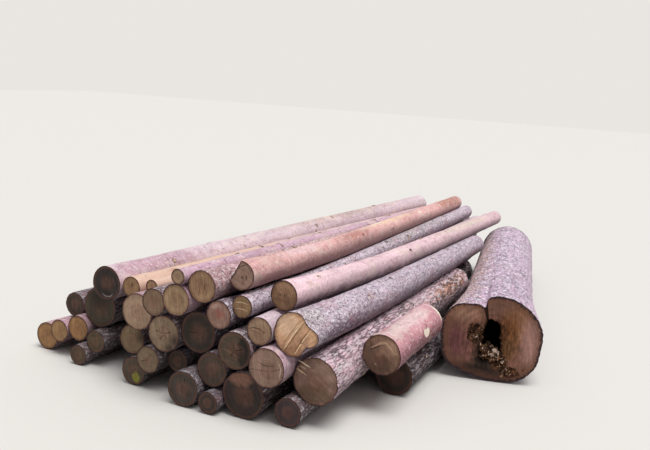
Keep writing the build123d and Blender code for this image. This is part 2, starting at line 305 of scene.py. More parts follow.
def bark_material(name, bark):
    """Bark over its own tone: clouds, scales with dark gaps, spots, painted shade below, and bare wood where
    it has come off.
    """
    material, tree, shader, stem, tone, bare, painted_shade = new_material(name, "stem", "tone", "bare", "stain_and_shade")

    waves = per_mm(WARP_SIZE * bark.scale, bark.stretch)
    wide = add(tree, "ShaderNodeMapping", {"Vector": stem}, Scale=waves)
    warp = add(tree, "ShaderNodeTexNoise", {"Vector": wide}, output="Color", Scale=1.0, Detail=3.0)
    place = add(tree, "ShaderNodeMapping", {"Vector": stem}, Scale=per_mm(bark.scale, bark.stretch))
    warped = add(tree, "ShaderNodeVectorMath", (warp, (bark.wavy,) * 3, place), TIMES_PLUS)
    edges = {"feature": "DISTANCE_TO_EDGE"}
    gap = add(tree, "ShaderNodeTexVoronoi", {"Vector": warped}, edges, "Distance", Scale=1.0)
    gap = add(tree, "ShaderNodeMath", (warp.node.outputs[0], GAP_CHANGE, gap), TIMES_PLUS)
    shut = GAP_CHANGE / 2
    furrow = add(tree, "ShaderNodeMapRange", (gap, shut, shut + bark.gap, 1 - bark.furrow, 1.0))
    scale_tone = add(tree, "ShaderNodeTexVoronoi", {"Vector": warped}, output="Color", Scale=1.0)
    uneven = add(tree, "ShaderNodeMapRange", (scale_tone, 0.0, 1.0, 1 - bark.furrow / 3, 1 + bark.furrow / 4))
    level, grit = clouded(tree, stem, bark.clouds)
    for share in (furrow, uneven):
        level = add(tree, "ShaderNodeMath", (level, share), TIMES)
    colour = add(tree, "ShaderNodeVectorMath", {0: tone, "Scale": level}, SCALED)
    colour, flakes = spotted(tree, stem, colour, bark.spots)
    # painted shade: darker under the stem, and over logs given a share all over
    colour = with_painted_shade(tree, colour, painted_shade)

    along = add(tree, "ShaderNodeMapping", {"Vector": stem}, Scale=per_mm(FIBRE_MM, FIBRE_STRETCH))
    fibre = add(tree, "ShaderNodeTexNoise", {"Vector": along}, Scale=1.0, Detail=5.0)
    wood = add(tree, "ShaderNodeMix", {0: fibre, 6: WOOD_DARK, 7: WOOD_PALE}, COLOURS, 2)
    worn = add(tree, "ShaderNodeMath", (bare, grit), PLUS)
    edge = add(tree, "ShaderNodeMapRange", (worn, 1 - BARE_EDGE, 1 + BARE_EDGE, 0.0, 1.0))
    colour = add(tree, "ShaderNodeMix", {0: edge, 6: colour, 7: wood}, COLOURS, 2)
    height = add(tree, "ShaderNodeMath", (furrow, flakes), PLUS)
    height = add(tree, "ShaderNodeMath", (grit, 0.7, height), TIMES_PLUS)
    lay_finish(tree, shader, colour, bark.rough, 0.3, height, 0.8, bark.relief * 1.6)
    return material


def debarked_material(name):
    """A spruce stem with its bark off: pale satin wood, long fibres, brown bast left in strips, and painted
    shade below.
    """
    material, tree, shader, stem, tone, painted_shade = new_material(name, "stem", "tone", "stain_and_shade")
    level, fibre = clouded(tree, stem, ((180, 3.0, 0.12), (34, 10, 0.10), (8, 30, 0.12)))
    colour = add(tree, "ShaderNodeVectorMath", {0: tone, "Scale": level}, SCALED)
    spots = ((34, 7, 0.24, "#b5775c", 0.6), (60, 4, 0.30, "#f2d9cf", 0.5), (11, 1.3, 0.06, "#6f4433", 0.8))
    colour, bast = spotted(tree, stem, colour, spots)
    # painted shade, as on the bark
    colour = with_painted_shade(tree, colour, painted_shade)
    height = add(tree, "ShaderNodeMath", (fibre, bast), PLUS)
    lay_finish(tree, shader, colour, 0.55, 0.4, height, 0.6, 0.8)
    return material


RING_MM = 9  # year rings, drawn some three times as wide as the real ones so that they show
RING_WANDER_MM = 70  # size of the waves in the rings
RING_WANDER = 9.0  # how far those waves shift the rings, as an angle of their sine
YEARS = 70  # groups of lean and fat years, to a metre of radius
SAW_MM, SAW_LENGTH = 6, 110  # marks that the saw's teeth left across the end
RIM_MM = 16  # size of the breaks in the bark's cut edge
RIM_BREAK = 0.013  # how unevenly it is broken
RIM_KEPT = 0.002  # how far in the break starts, so that the dark edge is gone in places


def sawn_material(name):
    """Sawn, weathered spruce end grain: rings, saw marks, grey and brown stains, painted shade in its cracks,
    and the bark's cut edge.
    """
    wanted = ("stem", "tone", "ring", "rim", "stain_and_shade")
    material, tree, shader, stem, tone, ring, rim, stain_and_shade = new_material(name, *wanted)

    level, fuzz = clouded(tree, stem, ((60, 1.0, 0.20), (22, 1.0, 0.08), (4, 1.0, 0.08)))
    wide = add(tree, "ShaderNodeMapping", {"Vector": stem}, Scale=per_mm(RING_WANDER_MM))
    wander = add(tree, "ShaderNodeTexNoise", {"Vector": wide}, Scale=1.0, Detail=2.0)
    turns = add(tree, "ShaderNodeMath", (ring, 2 * math.pi / (RING_MM * MM)), TIMES)
    turns = add(tree, "ShaderNodeMath", (wander, RING_WANDER, turns), TIMES_PLUS)
    wave = add(tree, "ShaderNodeMath", (turns,), {"operation": "SINE"})
    groups = add(tree, "ShaderNodeCombineXYZ", X=ring)
    years = add(tree, "ShaderNodeTexNoise", {"Vector": groups}, Scale=YEARS, Detail=3.0)
    saw_scale = (1 / (SAW_MM * MM), 1 / (SAW_LENGTH * MM), 1.0)
    across = add(tree, "ShaderNodeMapping", {"Vector": stem}, Scale=saw_scale)
    marks = add(tree, "ShaderNodeTexNoise", {"Vector": across}, Scale=1.0, Detail=3.0)
    for pattern, low, high, least, most in (
        (wave, -1.0, 1.0, 0.94, 1.04),
        (years, NOISE_LOW, NOISE_HIGH, 0.84, 1.12),
        (marks, NOISE_LOW, NOISE_HIGH, 0.78, 1.18),
    ):
        change = add(tree, "ShaderNodeMapRange", (pattern, low, high, least, most))
        level = add(tree, "ShaderNodeMath", (level, change), TIMES)
    colour = add(tree, "ShaderNodeVectorMath", {0: tone, "Scale": level}, SCALED)
    broken = add(tree, "ShaderNodeTexNoise", {"Vector": stem}, Scale=1 / (RIM_MM * MM), Detail=3.0)
    rim = add(tree, "ShaderNodeMath", (broken, -RIM_BREAK, rim), TIMES_PLUS)
    rim = add(tree, "ShaderNodeMath", (rim, RIM_KEPT), PLUS)
    # the stain value: real stains, and painted shade in cracks, the hollow butt's fold and its eaten places
    for value, low, high, strength, shade in (
        (stain_and_shade, 0.0, 1.0, 0.88, "#2c2421"),
        (rim, 0.013, 0.0, 0.60, "#6b4535"),
        (rim, 0.001, -0.002, 0.95, "#33262a"),
    ):
        cover = add(tree, "ShaderNodeMapRange", (value, low, high, 0.0, strength))
        colour = add(tree, "ShaderNodeMix", {0: cover, 6: colour, 7: linear(shade)}, COLOURS, 2)
    height = add(tree, "ShaderNodeMath", (marks, fuzz), PLUS)
    lay_finish(tree, shader, colour, 0.8, 0.25, height, 0.7, 1.1)
    return material


CUBE_MM, CUBE_STRETCH = 12, 1.3  # cubes that the rotted wood has cracked into


def rot_material(name):
    """Brown rotted heartwood: dull, and cracked into small cubes with dark gaps."""
    material, tree, shader, stem, tone = new_material(name, "stem", "tone")
    level, grit = clouded(tree, stem, ((60, 1.0, 0.30), (16, 1.5, 0.25), (4, 1.0, 0.20)))
    place = add(tree, "ShaderNodeMapping", {"Vector": stem}, Scale=per_mm(CUBE_MM, CUBE_STRETCH))
    edges = {"feature": "DISTANCE_TO_EDGE"}
    crack = add(tree, "ShaderNodeTexVoronoi", {"Vector": place}, edges, "Distance", Scale=1.0)
    open_crack = add(tree, "ShaderNodeMapRange", (crack, 0.0, 0.10, 0.35, 1.0))
    level = add(tree, "ShaderNodeMath", (level, open_crack), TIMES)
    colour = add(tree, "ShaderNodeVectorMath", {0: tone, "Scale": level}, SCALED)
    height = add(tree, "ShaderNodeMath", (open_crack, grit), PLUS)
    lay_finish(tree, shader, colour, 0.92, 0.15, height, 0.9, 3)
    return material


MATERIALS = {name: bark_material(name, bark) for name, bark in BARKS.items()}
MATERIALS["debarked_spruce"] = debarked_material("debarked_spruce")
MATERIALS["sawn_end_grain"] = sawn_material("sawn_end_grain")
MATERIALS["brown_rotted_heartwood"] = rot_material("brown_rotted_heartwood")


@dataclass
class Look:
    """One log's looks: its bark, the tones of its bark and sawn ends, and what has happened to them.

    Peeled places: distance from the sawn end, angle, half length, half angle. Patches of another tone: the
    same, and the tone. Cracks: angle, inner and outer end as shares of the radius, width. Stains: angle,
    share of the radius, size. Marks of another tone on the sawn end: place from its middle, half sizes,
    tone. Streaks on it, such as splits, torn slivers and deep saw cuts: width, tone, and the places that
    they run through. The saw's marks run at an angle across the end. A fine log is near the camera and has
    more points. The last value is a painted shade that darkens the bark all over.
    """

    bark: str
    tone: str
    face: str
    peeled: tuple = ()
    patches: tuple = ()
    cracks: tuple = ()
    stains: tuple = ()
    pith: tuple = (0, 0)
    marks: tuple = ()
    streaks: tuple = ()
    saw: float = 10
    fine: bool = False
    painted_shade: float = 0.0


SMOOTH, MOTTLED = "smooth_spruce_bark", "mottled_spruce_bark"
LONG, DEBARKED = "long_scaled_bark", "debarked_spruce"
STAR = (  # drying cracks round the pith
    (20, 0.0, 0.45, 3), (100, 0.0, 0.35, 3), (170, 0.05, 0.5, 2.5), (235, 0.0, 0.4, 3), (310, 0.0, 0.3, 2.5),
)
HIDDEN = Look(MOTTLED, "#9b888c", "#5a4c3f", painted_shade=0.25)  # for the logs that hardly show, with painted shade over their bark

# The darkest sawn-end tones, of the lower logs inside the stack, are partly painted shade, as is the shade
# share that darkens their bark all over.
LOOKS = {
    "ground_log_1": Look(SMOOTH, "#cfaab2", "#a07a54"),
    "ground_log_2": HIDDEN,
    "ground_log_3": Look(MOTTLED, "#9b888a", "#594a3c", painted_shade=0.3),
    "ground_log_4": HIDDEN,
    "ground_log_5": HIDDEN,
    "ground_log_6": Look(MOTTLED, "#9a8688", "#554a3f", marks=(((14, -30), (26, 30), "#8c8a3c"),), painted_shade=0.35),
    "ground_log_7": HIDDEN,
    "ground_log_8": Look(MOTTLED, "#a49397", "#493f39", cracks=((80, 0.1, 0.6, 2),), painted_shade=0.35),
    "ground_log_9": Look(MOTTLED, "#95848a", "#3f3531", painted_shade=0.35),
    # Its near-black sawn end is painted shadow, and the lighter mark at its upper left is painted light.
    "ground_log_10": Look(
        LONG, "#a48c90", "#382e2b", marks=(((-20, 76), (80, 44), "#7c5a4c"),), saw=35, painted_shade=0.35,
    ),
    "ground_log_11": Look(MOTTLED, "#9a868a", "#44383a", painted_shade=0.25),
    # A guessed support log in deep shade: its dark sawn end and darkened bark are painted shade.
    "ground_log_12": Look(LONG, "#86727a", "#382e2a", painted_shade=0.5),
    "second_log_1": Look(SMOOTH, "#c6a0ab", "#a5825c"),
    "second_log_2": Look(SMOOTH, "#c19ca6", "#9f7852"),
    "second_log_3": Look(MOTTLED, "#9d8a8c", "#5c4f3e", painted_shade=0.3),
    "second_log_4": HIDDEN,
    "second_log_5": Look(
        MOTTLED, "#9f888c", "#7c6a56", cracks=((60, 0.0, 0.5, 2), (200, 0.1, 0.7, 2)), painted_shade=0.35,
    ),
    "second_log_6": Look(MOTTLED, "#9c888c", "#463b33", painted_shade=0.35),
    "second_log_7": Look(MOTTLED, "#a0898f", "#4f423a", painted_shade=0.3),
    "second_log_8": Look(
        LONG, "#ecc8d4", "#85695d", peeled=((25, 125, 45, 22),),
        patches=((1950, 38, 620, 44, "#d09c8a"), (1200, 60, 260, 30, "#e2c0c6")),
        cracks=((150, 0.5, 0.9, 3),), saw=60, fine=True,
        marks=(((0, -60), (110, 50), "#6c5547"), ((50, 50), (70, 60), "#94786a")),
        streaks=(
            (7, "#dcc3a8", (-92, 84), (-60, 72), (-28, 62)), (7, "#cdb08e", (-100, 44), (-74, 34), (-46, 24)),
            (4, "#c8ab8c", (-78, 60), (-52, 50)), (5, "#3a2a26", (-88, 76), (-54, 62)),
        ),
    ),
    "second_log_9": Look(
        SMOOTH, "#d6b4c2", "#95796a", cracks=((10, 0.1, 0.8, 2), (190, 0.2, 0.9, 2)), pith=(18, -14),
        streaks=((6, "#bfa796", (62, 40), (76, 8), (70, -30)), (3, "#4a3931", (-50, 24), (-8, 10), (40, 16))),
        fine=True,
    ),
    # The pale patch on top is painted light and the dark patch underneath painted shade; its sawn end is
    # painted lighter above and darker below, as light and shade.
    "second_log_10": Look(
        SMOOTH, "#dc9fa8", "#8c6e5c", peeled=((450, 14, 46, 17), (735, 40, 30, 34), (60, 118, 60, 8)),
        patches=((330, 84, 500, 44, "#eecdce"), (300, -12, 900, 44, "#a8717a")), fine=True,
        marks=(
            ((36, 40), (70, 46), "#a5846f"), ((-10, -50), (100, 56), "#614a3e"),
            ((-60, 6), (40, 60), "#6f5648"),
        ),
        streaks=(
            (8, "#c6a286", (-58, 26), (-32, 42), (-4, 60), (20, 62), (46, 40), (58, 24), (82, 16)),
            (4, "#43322a", (-64, 16), (-34, 30), (-4, 46), (18, 48)), (5, "#b08c74", (-34, -44), (-22, -56)),
        ),
    ),
    "third_log_1": Look(LONG, "#aa99a0", "#4c4438", stains=((100, 0.5, 120),), painted_shade=0.3),
    "third_log_2": Look(MOTTLED, "#9a898e", "#473d36", painted_shade=0.25),
    "third_log_3": Look(MOTTLED, "#8e787c", "#7c6850", stains=((20, 0.9, 60),)),
    "third_log_4": Look(MOTTLED, "#927b80", "#96806a", cracks=STAR, stains=((340, 0.85, 70), (300, 0.9, 60))),
    "third_log_5": Look(
        MOTTLED, "#9a848a", "#56483c", cracks=STAR, marks=(((58, 0), (52, 110), "#2b2421"),), saw=80,
    ),
    "third_log_6": Look(MOTTLED, "#927f8a", "#3c332e", cracks=((185, 0.0, 0.7, 2),)),
    "third_log_7": HIDDEN,
    "fourth_log_1": Look(SMOOTH, "#c19ca7", "#a78b75"),
    "fourth_log_2": Look(
        MOTTLED, "#dcc8d8", "#d6a986", patches=((80, 60, 130, 60, "#dac8cf"), (300, -10, 500, 40, "#a58ba0")),
        cracks=((200, 0.0, 0.16, 4), (320, 0.0, 0.22, 4), (80, 0.0, 0.2, 4)), pith=(30, -26), saw=-52,
        marks=(
            ((-44, 40), (70, 70), "#e4bd9e"), ((-10, -76), (70, 40), "#a98062"),
            ((60, -70), (30, 30), "#b49080"),
        ),
        fine=True,
        streaks=(
            (6, "#f0cfa8", (34, 70), (-12, 4), (-66, -86)), (4, "#8f6544", (42, 66), (-4, 0), (-58, -90)),
            (4, "#946a49", (72, 46), (30, -16), (-16, -96)), (3, "#a87b56", (22, 76), (-24, 10), (-74, -70)),
            (5, "#f0cfa8", (78, 40), (40, -14), (-4, -90)),
            (4, "#6b4a36", (20, -16), (30, -22), (24, -34), (38, -30)),
        ),
    ),
    "fourth_log_3": Look(
        SMOOTH, "#e2ccd6", "#a0846c", cracks=((180, 0.0, 0.8, 2), (20, 0.0, 0.4, 2)), pith=(12, -10),
        fine=True, streaks=((4, "#4d3c32", (-58, 4), (-30, 14), (0, 12), (30, -2)),),
    ),
    "fourth_log_4": Look(
        MOTTLED, "#b099a7", "#97776a", fine=True,
        marks=(((4, 4), (30, 26), "#a06a60"), ((-30, 50), (40, 30), "#b39184")),
    ),
    "fourth_log_5": Look(MOTTLED, "#90797f", "#846c58"),
    "fifth_log_1": Look(SMOOTH, "#c6a1ae", "#a08468"),
    "fifth_log_2": Look(
        MOTTLED, "#e4d0de", "#937759", patches=((2300, 60, 900, 60, "#c9bbc0"),),
        cracks=((85, 0.0, 0.6, 2), (270, 0.0, 0.6, 2)), fine=True,
        streaks=(
            (5, "#cbb08c", (-38, 18), (0, 21), (38, 16)), (5, "#bfa380", (-36, -12), (4, -10), (36, -16)),
        ),
    ),
    # The two dark patches underneath its bark are painted shade.
    "fifth_log_3": Look(
        SMOOTH, "#f6d2da", "#8f6f54", peeled=((1410, 96, 26, 10),),
        patches=(
            (2900, 60, 900, 50, "#eed8ce"), (700, -42, 1500, 34, "#a3858c"), (2400, -44, 1500, 30, "#b39b96"),
        ),
        saw=20, fine=True, marks=(((10, 30), (60, 40), "#a18064"),),
        streaks=(
            (6, "#4b3a30", (-22, 7), (-20, -5)), (6, "#4b3a30", (4, 8), (6, -6)),
            (3, "#6e5644", (-70, -18), (40, -26)),
        ),
    ),
    "top_log_1": Look(
        SMOOTH, "#ead2da", "#37302e", stains=((270, 0.6, 50),), fine=True,
        patches=((2600, 90, 1300, 60, "#dcc0bc"), (350, 60, 500, 70, "#d3aebb")),
        streaks=((7, "#837a76", (-30, -56), (-4, -72), (26, -66), (44, -50)),),
    ),
    "top_log_2": Look(
        DEBARKED, "#e8c4b0", "#a0805f", patches=((2700, 90, 1900, 180, "#dfc2c4"),),
        streaks=((6, "#4b3a2e", (6, 26), (4, 0)),),
    ),
    "top_log_3": Look(DEBARKED, "#ecc8b4", "#ac8a6c", patches=((2700, 90, 1900, 180, "#dfc2c4"),)),
    "top_log_4": Look(
        MOTTLED, "#d2a8ac", "#9a7b60", patches=((1500, 70, 900, 60, "#e0bab6"),),
        cracks=((250, 0.0, 0.6, 3), (92, 0.0, 0.5, 2)), pith=(-8, 4), fine=True,
        streaks=((6, "#54402f", (16, 20), (18, -14)), (3, "#6b543f", (30, 6), (26, -40))),
    ),
    "top_log_5": Look(SMOOTH, "#deb8ca", "#a38970"),
    "top_log_6": Look(
        SMOOTH, "#eebab6", "#a08374", peeled=((1785, 100, 120, 18), (2565, 50, 30, 11), (1140, 58, 22, 8)),
        patches=(
            (620, 70, 300, 60, "#f2ccce"), (1330, 50, 380, 60, "#c88e84"), (2000, 80, 600, 50, "#ecc8b0"),
            (3300, 60, 420, 70, "#c88f80"),
        ),
        cracks=((335, 0.05, 0.4, 3),), pith=(16, -6), saw=75, fine=True,
        streaks=(
            (7, "#4a3832", (2, 0), (4, -14)), (7, "#4a3832", (24, 2), (26, -12)),
            (3, "#6e574d", (10, -10), (6, -44)),
            (4, "#5d483f", (-30, 24), (0, 48), (26, 56), (50, 22)),
        ),
    ),
}

HOLLOW = "hollow_butt_log"
HOLLOW_TURN = 14.8  # how far its far end lies turned towards the stack
FINE_GRID, PLAIN_GRID = (96, 174), (56, 70)  # points round a log and along it
ROW_CROWDING = 1.3  # power that crowds the rows near the sawn end
UNDERSIDE_PAINTED_SHADE = 0.56  # painted shade: how much darker the bark is painted underneath

# Relief of the bark, as lumps to a metre and their height
SKIN_OVER = 1.5  # most that a skin stands off its solid
BARK_SUNK = 1.6  # how far the bark lies under the solid's surface on average
LUMPS, LUMP_HEIGHT = 9, 2.2
GRAIN = 34  # the bark's fine relief, as high as its kind gives
BAST_RELIEF = 0.3  # and without bark
RAGGED, RAGGED_PART = 22, 0.45  # edges of peeled places and patches
PEELED_DEPTH = 2.5  # how far the bare wood lies under the bark
WEAR, WEAR_LENGTH = 50, 20  # bark broken off beside the sawn ends
WEAR_PART = 3  # how deep that goes, over the bark's relief
COLLAR_RISE, COLLAR_WIDTH = 3.5, 2.2  # swelling round a branch: its height, and its width over the branch's
COLLAR_REACH = 60  # most that it reaches along the log

# Sawn ends
FACE_SUNK = 0.4  # how far a skin's sawn end lies behind its solid's, which leaves room for streaks
FACE_RINGS = (  # rings of points on a sawn end, as shares of its radius
    1.0, 0.975, 0.945, 0.91, 0.87, 0.82, 0.76, 0.7, 0.63, 0.56, 0.49, 0.42, 0.35, 0.28, 0.2, 0.12, 0.05, 0.0,
)
HEART_TONE = linear("#7d5242")
HEART_DARKER = 0.30  # how far the heartwood goes to its own tone
HEART_EDGE = (0.3, 0.62)  # where it ends, as shares of the radius
GROOVES = (40, 6)  # grooves that the saw left, to a metre across them and along them
GROOVE_DEPTH = 0.9
CRACK_DEPTH = 9  # depth of the drying cracks
MARK_WANDER, MARK_SIZE = 14, 45  # how far the edges of marks wander, and in how many waves to a metre
STREAK_STEP = 7  # distance between the points of a streak
STREAK_WANDER = 1.6  # how far it strays from its line


class Solid:
    """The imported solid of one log, with its own directions across and along it."""

    def __init__(self, node, turn=0.0):
        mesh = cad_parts[node].data
        points = [vertex.co.copy() for vertex in mesh.vertices]
        self.tree = BVHTree.FromPolygons(points, [tuple(face.vertices) for face in mesh.polygons])
        angle = math.radians(turn)
        self.along = Vector((-math.sin(angle), math.cos(angle), 0))
        self.across = Vector((math.cos(angle), math.sin(angle), 0))
        places = [point.dot(self.along) for point in points]
        self.front, self.back = min(places), max(places)
        self.length = self.back - self.front
        self.ends = [
            self.middle([p for p, at in zip(points, places) if abs(at - end) < 0.5 * MM])
            for end in (self.front, self.back)
        ]

    def middle(self, points):
        """Middle of one sawn end, across and up."""
        sides = [p.dot(self.across) for p in points]
        heights = [p.z for p in points]
        return ((min(sides) + max(sides)) / 2, (min(heights) + max(heights)) / 2)

    def centre(self, at):
        """Point on the log's axis at a distance from its sawn end."""
        part = at / self.length
        side, height = (a + (b - a) * part for a, b in zip(*self.ends))
        return self.across * side + self.along * (self.front + at) + Vector((0, 0, height))

    def outward(self, angle):
        """Direction across the log at an angle."""
        return self.across * math.cos(angle) + Vector((0, 0, math.sin(angle)))

    def radius(self, at, angle):
        """Distance from the axis to the solid's outer surface."""
        skim = 0.2 * MM  # a ray right on an end could slip past the solid
        inside = min(max(at, skim), self.length - skim)
        centre, outward = self.centre(inside), self.outward(angle)
        hit = self.tree.ray_cast(centre + outward, -outward)[0]
        return (hit - centre).dot(outward)


class Skin:
    """Points, faces and the values that the finishes read, gathered for one mesh."""

    def __init__(self, materials):
        self.materials = materials
        self.points, self.faces, self.slots = [], [], []
        self.values = {"stem": [], "tone": [], "bare": [], "ring": [], "rim": [], "stain_and_shade": []}

    def put(self, point, stem, tone, bare=0.0, ring=1.0, rim=1.0, stain_and_shade=0.0):
        """Add a point."""
        self.points.append(point)
        for values, value in zip(self.values.values(), (stem, tone, bare, ring, rim, stain_and_shade)):
            values.append(value)

    def face(self, corners, slot):
        """Add a face between points."""
        self.faces.append(tuple(corners))
        self.slots.append(slot)

    def band(self, start, columns, rows, slot, flip=False):
        """Add the faces between rows of points that close on themselves."""
        for row in range(rows - 1):
            for column in range(columns):
                a = start + row * columns + column
                b = start + row * columns + (column + 1) % columns
                quad = (a, a + columns, b + columns, b)
                self.face(quad[::-1] if flip else quad, slot)

    def make(self, node):
        """Make the mesh object that stands for the node's solid, inside the model's box."""
        mesh = bpy.data.meshes.new(f"{node}_skin")
        places = np.clip(np.array([tuple(p) for p in self.points]), CAD_LOW, CAD_HIGH)
        mesh.from_pydata(places.tolist(), [], self.faces)
        for name, values in self.values.items():
            kind, field = {
                "stem": ("FLOAT_VECTOR", "vector"), "tone": ("FLOAT_COLOR", "color"),
            }.get(name, ("FLOAT", "value"))
            numbers = np.asarray(values, np.float32).ravel()
            mesh.attributes.new(name, kind, "POINT").data.foreach_set(field, numbers)
        for material in self.materials:
            mesh.materials.append(MATERIALS[material])
        mesh.polygons.foreach_set("material_index", self.slots)
        mesh.polygons.foreach_set("use_smooth", [slot == 0 for slot in self.slots])
        mesh.update()
        made = bpy.data.objects.new(f"{node}_skin", mesh)
        bpy.context.scene.collection.objects.link(made)
        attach(made, "root")
        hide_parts(node)


def around(columns):
    """The columns of points round a log, each with its angle."""
    return [(column, 2 * math.pi * column / columns) for column in range(columns)]


def smooth(value, low, high):
    """0 below low, 1 above high, and a smooth step between."""
    part = min(max((value - low) / (high - low), 0.0), 1.0)
    return part * part * (3 - 2 * part)


def blend(one, two, share):
    """A colour between two."""
    return tuple(a + (b - a) * share for a, b in zip(one, two))


def within(place, spot, ragged, soft):
    """How far a place on a stem is inside a patch, from 0 to 1. The place is a distance and an angle."""
    middle, turn, half_length, half_angle = spot[:4]
    away = (math.degrees(place[1]) - turn + 180) % 360 - 180
    out = math.hypot((place[0] / MM - middle) / half_length, away / half_angle)
    return 1 - smooth(out + ragged, 1 - soft, 1.05)


def painted_shade_below(angle, all_over=0.0):
    """How far painted shade darkens the bark on one side of the stem, most of all underneath, with a share
    all over.
    """
    return 1 - (1 - all_over) * (1 - UNDERSIDE_PAINTED_SHADE * smooth(-math.sin(angle), -0.6, 0.6))


def near_spot(x, z, middle, half, edge=0.35):
    """How near a place on a face is to the middle of a spot, from 0 to 1."""
    return 1 - smooth(math.hypot((x - middle[0]) / half[0], (z - middle[1]) / half[1]), edge, 1.0)


WHORL_START, WHORL_STEP = 0.25, 0.3  # metres to the first whorl at least, and between one and the next


def whorls(seed, length):
    """Branches of a stem, as distance, angle and radius, in a whorl for each year's growth."""
    draw = np.random.default_rng(seed)
    found = []
    at = WHORL_START + 0.3 * draw.random()
    while at < length - 0.1:
        for _ in range(draw.integers(2, 5)):
            place = at + draw.normal(0, 0.02)
            found.append((place, draw.random() * 2 * math.pi, 0.007 + 0.006 * draw.random()))
        at += WHORL_STEP + 0.25 * draw.random()
    return found


STUB_SIDES = 9  # points round a stub
STUB_SUNK = 6  # how deep a stub's foot is in the stem
STUB_RISE = (0.5, 3.5)  # height of the lowest, and how much more the highest has
STUB_ROOM = 12  # room that it needs to the next log
STUB_WOOD, STUB_BARK = linear("#cdb49a"), linear("#5f4a48")


def add_stub(skin, solid, knot, seed):
    """A branch cut off close to the stem, where nothing lies against it."""
    at, angle, radius = knot
    draw = np.random.default_rng(seed)
    rise = (STUB_RISE[0] + STUB_RISE[1] * draw.random() ** 2) * MM
    outward = solid.outward(angle)
    foot = solid.centre(at) + outward * solid.radius(at, angle)
    above = foot + outward * MM
    if any(other.tree.ray_cast(above, outward, STUB_ROOM * MM)[0] for other in SOLIDS.values()):
        return
    side = outward.cross(solid.along)
    start = len(skin.points)
    weathered = blend(STUB_WOOD, STUB_BARK, 0.75 * draw.random())
    rings = (
        (-STUB_SUNK * MM, 1.5, STUB_BARK), (rise * 0.4, 1.15, STUB_BARK), (rise, 0.95, STUB_BARK),
        (rise, 0.9, weathered), (rise * 0.8, 0.0, weathered),
    )
    for height, wide, tone in rings:
        for _, turn in around(STUB_SIDES):
            arm = (solid.along * math.cos(turn) * 1.25 + side * math.sin(turn)) * radius * wide
            arm *= 1 + 0.15 * math.sin(3 * turn + seed)
            place = foot + outward * height + arm
            skin.put(place, place, tone, ring=arm.length, rim=0.02)
    skin.band(start, STUB_SIDES, len(rings), 2, flip=True)


def add_bark(skin, solid, look, knots, offset, columns, rows):
    """The bark, as rows of points along the stem. Gives its radii."""
    relief = BARKS[look.bark].relief * MM if look.bark in BARKS else BAST_RELIEF * MM
    tone = linear(look.tone)
    patches = [(patch, linear(patch[4])) for patch in look.patches]
    radii = {}
    for row in range(rows):
        at = solid.length * (row / (rows - 1)) ** ROW_CROWDING
        centre = solid.centre(at)
        near = [knot for knot in knots if abs(knot[0] - at) < COLLAR_REACH * MM]
        end_wear = 1 - smooth(min(at, solid.length - at), 0, WEAR_LENGTH * MM)
        for column, angle in around(columns):
            radius = solid.radius(at, angle)
            place = Vector((math.cos(angle) * radius, math.sin(angle) * radius, at)) + offset
            lumps = noise.noise(place * LUMPS) * LUMP_HEIGHT * MM
            fine = noise.noise(place * GRAIN)
            ragged = RAGGED_PART * noise.noise(place * RAGGED)
            bare = max([within((at, angle), spot, ragged, 0.25) for spot in look.peeled] + [0.0])
            height = lumps + fine * relief - BARK_SUNK * MM - bare * PEELED_DEPTH * MM
            height -= end_wear * max(0.0, noise.noise(place * WEAR)) * WEAR_PART * relief
            for knot_at, knot_angle, knot_radius in near:
                away = ((angle - knot_angle + math.pi) % (2 * math.pi) - math.pi) * radius
                apart = math.hypot(away, knot_at - at) / (knot_radius * COLLAR_WIDTH)
                height += COLLAR_RISE * MM * math.exp(-apart * apart)
            own = tone
            for patch, patch_tone in patches:
                own = blend(own, patch_tone, within((at, angle), patch, ragged, 0.7))
            radii[row, column] = radius + min(height, SKIN_OVER * MM)
            # painted shade, darkest under the stem
            painted_shade = painted_shade_below(angle, look.painted_shade)
            skin.put(centre + solid.outward(angle) * radii[row, column], place, own, bare, stain_and_shade=painted_shade)
    skin.band(0, columns, rows, 0)
    return radii


def crack_columns(cracks, columns):
    """How far a column of the end face moves sideways and inwards to open the cracks."""
    moves = {}
    for angle, inner, outer, width in cracks:
        column = round(angle / 360 * columns) % columns
        moves[column] = (0, inner, outer, width)
        moves[(column - 1) % columns] = (1, inner, outer, width)
        moves[(column + 1) % columns] = (-1, inner, outer, width)

    def move(column, share, mean):
        if column not in moves:
            return 0.0, 0.0
        side, inner, outer, width = moves[column]
        open_part = smooth(share, inner - 0.05, inner + 0.05)
        open_part *= 1 - smooth(share, outer - 0.08, outer + 0.02)
        if side == 0:
            return 0.0, open_part * CRACK_DEPTH * MM
        spacing = share * mean * 2 * math.pi / columns
        return side * max(0.0, spacing - width * MM / 2) * open_part, 0.0

    return move


